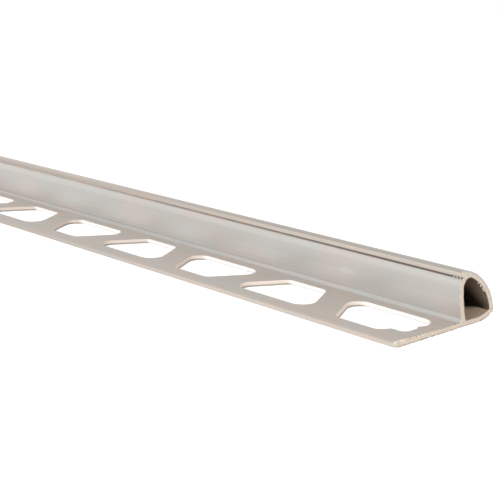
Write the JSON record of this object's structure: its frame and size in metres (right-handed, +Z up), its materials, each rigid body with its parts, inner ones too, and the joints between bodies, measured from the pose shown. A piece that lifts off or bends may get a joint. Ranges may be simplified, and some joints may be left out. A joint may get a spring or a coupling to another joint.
{
  "type": "tile edge trim",
  "caption": "Quarter-round tile edge trim: a hollow rounded nose on a flat flange with alternating trapezoid holes, sold as cut stock.",
  "frame": {"origin": "middle of the trim's length and width, on the underside of the base", "axes": "+X along the trim towards the end the picture shows, +Y from the flange's free edge to the rounded nose, +Z up from the base"},
  "size_m": [1, 0.0254, 0.01],
  "materials": {
    "satin_silver": "satin mill finish, sawn ends"
  },
  "bodies": {
    "root": {"edge_trim": "satin_silver"}
  },
  "joints": []
}
